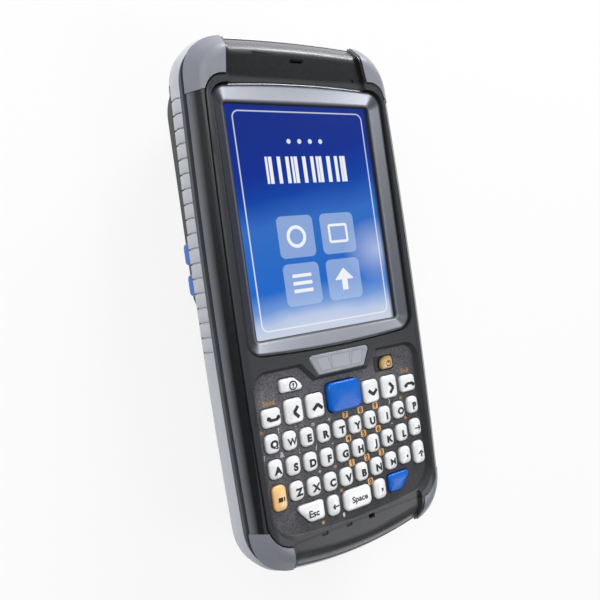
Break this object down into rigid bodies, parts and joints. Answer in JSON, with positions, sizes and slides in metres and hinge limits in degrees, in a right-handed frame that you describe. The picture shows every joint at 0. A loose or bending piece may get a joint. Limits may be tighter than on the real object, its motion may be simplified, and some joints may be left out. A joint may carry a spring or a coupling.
{
  "type": "portable barcode data terminal",
  "caption": "Hand-held data terminal with a touch display, an alphabetic keypad, side keys, a scan window at the top end and a removable battery pack in the back.",
  "frame": {"origin": "under the middle of the body, on the surface it lies on", "axes": "+Z out of the display, +Y to the scanning end, +X to the right seen from the front"},
  "size_m": [0.082, 0.1672, 0.0333],
  "materials": {
    "black_shell": "fine satin texture",
    "black_back": "fine texture",
    "light_band": "smooth satin",
    "grey_bumper": "soft overmould",
    "grey_bezel": "satin",
    "display_glass": "lit display",
    "smoked_window": "smoked clear window",
    "white_key": "glossy cap with black legend",
    "blue_key": "glossy cap",
    "orange_key": "glossy cap",
    "board": "circuit board with dome switches",
    "scan_glass": "tinted window",
    "engine_black": "moulded block",
    "screw_steel": "plated"
  },
  "bodies": {
    "housing": {"front_housing": "black_shell", "rear_housing": "black_back", "grip_band": "light_band", "corner_bumpers": "grey_bumper", "display_bezel": "grey_bezel", "display_module": "display_glass", "status_window": "smoked_window", "main_board": "board", "scan_window": "scan_glass", "scan_engine": "engine_black", "housing_screws": "screw_steel"},
    "battery_pack_body": {"battery_pack": "black_back"},
    "battery_latch_body": {"battery_latch": "grey_bezel"},
    "left_upper_button_body": {"left_upper_button": "blue_key"},
    "left_lower_button_body": {"left_lower_button": "blue_key"},
    "right_scan_button_body": {"right_scan_button": "blue_key"},
    "key_help_body": {"key_help": "white_key"},
    "key_power_body": {"key_power": "orange_key"},
    "key_send_body": {"key_send": "white_key"},
    "key_left_body": {"key_left": "white_key"},
    "key_up_body": {"key_up": "white_key"},
    "key_centre_body": {"key_centre": "blue_key"},
    "key_down_body": {"key_down": "white_key"},
    "key_right_body": {"key_right": "white_key"},
    "key_end_body": {"key_end": "white_key"},
    "key_q_body": {"key_q": "white_key"},
    "key_w_body": {"key_w": "white_key"},
    "key_e_body": {"key_e": "white_key"},
    "key_r_body": {"key_r": "white_key"},
    "key_t_body": {"key_t": "white_key"},
    "key_y_body": {"key_y": "white_key"},
    "key_u_body": {"key_u": "white_key"},
    "key_i_body": {"key_i": "white_key"},
    "key_o_body": {"key_o": "white_key"},
    "key_p_body": {"key_p": "white_key"},
    "key_a_body": {"key_a": "white_key"},
    "key_s_body": {"key_s": "white_key"},
    "key_d_body": {"key_d": "white_key"},
    "key_f_body": {"key_f": "white_key"},
    "key_g_body": {"key_g": "white_key"},
    "key_h_body": {"key_h": "white_key"},
    "key_j_body": {"key_j": "white_key"},
    "key_k_body": {"key_k": "white_key"},
    "key_l_body": {"key_l": "white_key"},
    "key_enter_body": {"key_enter": "white_key"},
    "key_orange_body": {"key_orange": "orange_key"},
    "key_z_body": {"key_z": "white_key"},
    "key_x_body": {"key_x": "white_key"},
    "key_c_body": {"key_c": "white_key"},
    "key_v_body": {"key_v": "white_key"},
    "key_b_body": {"key_b": "white_key"},
    "key_n_body": {"key_n": "white_key"},
    "key_m_body": {"key_m": "white_key"},
    "key_period_body": {"key_period": "white_key"},
    "key_shift_body": {"key_shift": "white_key"},
    "key_esc_body": {"key_esc": "white_key"},
    "key_backspace_body": {"key_backspace": "white_key"},
    "key_space_body": {"key_space": "white_key"},
    "key_comma_body": {"key_comma": "white_key"},
    "key_blue_body": {"key_blue": "blue_key"}
  },
  "joints": [
    {"name": "key_help_press", "type": "slide", "parent": "housing", "child": "key_help_body", "axis": [0, 0, -1], "range_m": [0, 0.0008], "stiffness_N_per_m": 500, "springref_m": -0.0006},
    {"name": "key_power_press", "type": "slide", "parent": "housing", "child": "key_power_body", "axis": [0, 0, -1], "range_m": [0, 0.0008], "stiffness_N_per_m": 500, "springref_m": -0.0006},
    {"name": "key_send_press", "type": "slide", "parent": "housing", "child": "key_send_body", "axis": [0, 0, -1], "range_m": [0, 0.0008], "stiffness_N_per_m": 500, "springref_m": -0.0006},
    {"name": "key_left_press", "type": "slide", "parent": "housing", "child": "key_left_body", "axis": [0, 0, -1], "range_m": [0, 0.0008], "stiffness_N_per_m": 500, "springref_m": -0.0006},
    {"name": "key_up_press", "type": "slide", "parent": "housing", "child": "key_up_body", "axis": [0, 0, -1], "range_m": [0, 0.0008], "stiffness_N_per_m": 500, "springref_m": -0.0006},
    {"name": "key_centre_press", "type": "slide", "parent": "housing", "child": "key_centre_body", "axis": [0, 0, -1], "range_m": [0, 0.0008], "stiffness_N_per_m": 500, "springref_m": -0.0006},
    {"name": "key_down_press", "type": "slide", "parent": "housing", "child": "key_down_body", "axis": [0, 0, -1], "range_m": [0, 0.0008], "stiffness_N_per_m": 500, "springref_m": -0.0006},
    {"name": "key_right_press", "type": "slide", "parent": "housing", "child": "key_right_body", "axis": [0, 0, -1], "range_m": [0, 0.0008], "stiffness_N_per_m": 500, "springref_m": -0.0006},
    {"name": "key_end_press", "type": "slide", "parent": "housing", "child": "key_end_body", "axis": [0, 0, -1], "range_m": [0, 0.0008], "stiffness_N_per_m": 500, "springref_m": -0.0006},
    {"name": "key_q_press", "type": "slide", "parent": "housing", "child": "key_q_body", "axis": [0, 0, -1], "range_m": [0, 0.0008], "stiffness_N_per_m": 500, "springref_m": -0.0006},
    {"name": "key_w_press", "type": "slide", "parent": "housing", "child": "key_w_body", "axis": [0, 0, -1], "range_m": [0, 0.0008], "stiffness_N_per_m": 500, "springref_m": -0.0006},
    {"name": "key_e_press", "type": "slide", "parent": "housing", "child": "key_e_body", "axis": [0, 0, -1], "range_m": [0, 0.0008], "stiffness_N_per_m": 500, "springref_m": -0.0006},
    {"name": "key_r_press", "type": "slide", "parent": "housing", "child": "key_r_body", "axis": [0, 0, -1], "range_m": [0, 0.0008], "stiffness_N_per_m": 500, "springref_m": -0.0006},
    {"name": "key_t_press", "type": "slide", "parent": "housing", "child": "key_t_body", "axis": [0, 0, -1], "range_m": [0, 0.0008], "stiffness_N_per_m": 500, "springref_m": -0.0006},
    {"name": "key_y_press", "type": "slide", "parent": "housing", "child": "key_y_body", "axis": [0, 0, -1], "range_m": [0, 0.0008], "stiffness_N_per_m": 500, "springref_m": -0.0006},
    {"name": "key_u_press", "type": "slide", "parent": "housing", "child": "key_u_body", "axis": [0, 0, -1], "range_m": [0, 0.0008], "stiffness_N_per_m": 500, "springref_m": -0.0006},
    {"name": "key_i_press", "type": "slide", "parent": "housing", "child": "key_i_body", "axis": [0, 0, -1], "range_m": [0, 0.0008], "stiffness_N_per_m": 500, "springref_m": -0.0006},
    {"name": "key_o_press", "type": "slide", "parent": "housing", "child": "key_o_body", "axis": [0, 0, -1], "range_m": [0, 0.0008], "stiffness_N_per_m": 500, "springref_m": -0.0006},
    {"name": "key_p_press", "type": "slide", "parent": "housing", "child": "key_p_body", "axis": [0, 0, -1], "range_m": [0, 0.0008], "stiffness_N_per_m": 500, "springref_m": -0.0006},
    {"name": "key_a_press", "type": "slide", "parent": "housing", "child": "key_a_body", "axis": [0, 0, -1], "range_m": [0, 0.0008], "stiffness_N_per_m": 500, "springref_m": -0.0006},
    {"name": "key_s_press", "type": "slide", "parent": "housing", "child": "key_s_body", "axis": [0, 0, -1], "range_m": [0, 0.0008], "stiffness_N_per_m": 500, "springref_m": -0.0006},
    {"name": "key_d_press", "type": "slide", "parent": "housing", "child": "key_d_body", "axis": [0, 0, -1], "range_m": [0, 0.0008], "stiffness_N_per_m": 500, "springref_m": -0.0006},
    {"name": "key_f_press", "type": "slide", "parent": "housing", "child": "key_f_body", "axis": [0, 0, -1], "range_m": [0, 0.0008], "stiffness_N_per_m": 500, "springref_m": -0.0006},
    {"name": "key_g_press", "type": "slide", "parent": "housing", "child": "key_g_body", "axis": [0, 0, -1], "range_m": [0, 0.0008], "stiffness_N_per_m": 500, "springref_m": -0.0006},
    {"name": "key_h_press", "type": "slide", "parent": "housing", "child": "key_h_body", "axis": [0, 0, -1], "range_m": [0, 0.0008], "stiffness_N_per_m": 500, "springref_m": -0.0006},
    {"name": "key_j_press", "type": "slide", "parent": "housing", "child": "key_j_body", "axis": [0, 0, -1], "range_m": [0, 0.0008], "stiffness_N_per_m": 500, "springref_m": -0.0006},
    {"name": "key_k_press", "type": "slide", "parent": "housing", "child": "key_k_body", "axis": [0, 0, -1], "range_m": [0, 0.0008], "stiffness_N_per_m": 500, "springref_m": -0.0006},
    {"name": "key_l_press", "type": "slide", "parent": "housing", "child": "key_l_body", "axis": [0, 0, -1], "range_m": [0, 0.0008], "stiffness_N_per_m": 500, "springref_m": -0.0006},
    {"name": "key_enter_press", "type": "slide", "parent": "housing", "child": "key_enter_body", "axis": [0, 0, -1], "range_m": [0, 0.0008], "stiffness_N_per_m": 500, "springref_m": -0.0006},
    {"name": "key_orange_press", "type": "slide", "parent": "housing", "child": "key_orange_body", "axis": [0, 0, -1], "range_m": [0, 0.0008], "stiffness_N_per_m": 500, "springref_m": -0.0006},
    {"name": "key_z_press", "type": "slide", "parent": "housing", "child": "key_z_body", "axis": [0, 0, -1], "range_m": [0, 0.0008], "stiffness_N_per_m": 500, "springref_m": -0.0006},
    {"name": "key_x_press", "type": "slide", "parent": "housing", "child": "key_x_body", "axis": [0, 0, -1], "range_m": [0, 0.0008], "stiffness_N_per_m": 500, "springref_m": -0.0006},
    {"name": "key_c_press", "type": "slide", "parent": "housing", "child": "key_c_body", "axis": [0, 0, -1], "range_m": [0, 0.0008], "stiffness_N_per_m": 500, "springref_m": -0.0006},
    {"name": "key_v_press", "type": "slide", "parent": "housing", "child": "key_v_body", "axis": [0, 0, -1], "range_m": [0, 0.0008], "stiffness_N_per_m": 500, "springref_m": -0.0006},
    {"name": "key_b_press", "type": "slide", "parent": "housing", "child": "key_b_body", "axis": [0, 0, -1], "range_m": [0, 0.0008], "stiffness_N_per_m": 500, "springref_m": -0.0006},
    {"name": "key_n_press", "type": "slide", "parent": "housing", "child": "key_n_body", "axis": [0, 0, -1], "range_m": [0, 0.0008], "stiffness_N_per_m": 500, "springref_m": -0.0006},
    {"name": "key_m_press", "type": "slide", "parent": "housing", "child": "key_m_body", "axis": [0, 0, -1], "range_m": [0, 0.0008], "stiffness_N_per_m": 500, "springref_m": -0.0006},
    {"name": "key_period_press", "type": "slide", "parent": "housing", "child": "key_period_body", "axis": [0, 0, -1], "range_m": [0, 0.0008], "stiffness_N_per_m": 500, "springref_m": -0.0006},
    {"name": "key_shift_press", "type": "slide", "parent": "housing", "child": "key_shift_body", "axis": [0, 0, -1], "range_m": [0, 0.0008], "stiffness_N_per_m": 500, "springref_m": -0.0006},
    {"name": "key_esc_press", "type": "slide", "parent": "housing", "child": "key_esc_body", "axis": [0, 0, -1], "range_m": [0, 0.0008], "stiffness_N_per_m": 500, "springref_m": -0.0006},
    {"name": "key_backspace_press", "type": "slide", "parent": "housing", "child": "key_backspace_body", "axis": [0, 0, -1], "range_m": [0, 0.0008], "stiffness_N_per_m": 500, "springref_m": -0.0006},
    {"name": "key_space_press", "type": "slide", "parent": "housing", "child": "key_space_body", "axis": [0, 0, -1], "range_m": [0, 0.0008], "stiffness_N_per_m": 500, "springref_m": -0.0006},
    {"name": "key_comma_press", "type": "slide", "parent": "housing", "child": "key_comma_body", "axis": [0, 0, -1], "range_m": [0, 0.0008], "stiffness_N_per_m": 500, "springref_m": -0.0006},
    {"name": "key_blue_press", "type": "slide", "parent": "housing", "child": "key_blue_body", "axis": [0, 0, -1], "range_m": [0, 0.0008], "stiffness_N_per_m": 500, "springref_m": -0.0006},
    {"name": "left_upper_button_press", "type": "slide", "parent": "housing", "child": "left_upper_button_body", "axis": [1, 0, 0], "range_m": [0, 0.0006], "stiffness_N_per_m": 800, "springref_m": -0.0006},
    {"name": "left_lower_button_press", "type": "slide", "parent": "housing", "child": "left_lower_button_body", "axis": [1, 0, 0], "range_m": [0, 0.0006], "stiffness_N_per_m": 800, "springref_m": -0.0006},
    {"name": "right_scan_button_press", "type": "slide", "parent": "housing", "child": "right_scan_button_body", "axis": [-1, 0, 0], "range_m": [0, 0.0006], "stiffness_N_per_m": 800, "springref_m": -0.0006},
    {"name": "battery_pack_slide", "type": "slide", "parent": "housing", "child": "battery_pack_body", "axis": [0, 0, -1], "range_m": [0, 0.015]},
    {"name": "battery_latch_slide", "type": "slide", "parent": "housing", "child": "battery_latch_body", "axis": [0, 1, 0], "range_m": [0, 0.003], "stiffness_N_per_m": 150, "springref_m": -0.001}
  ],
  "couplings": [
    {"joint": "battery_latch_slide", "follows": "battery_pack_slide", "ratio": 0.2}
  ]
}
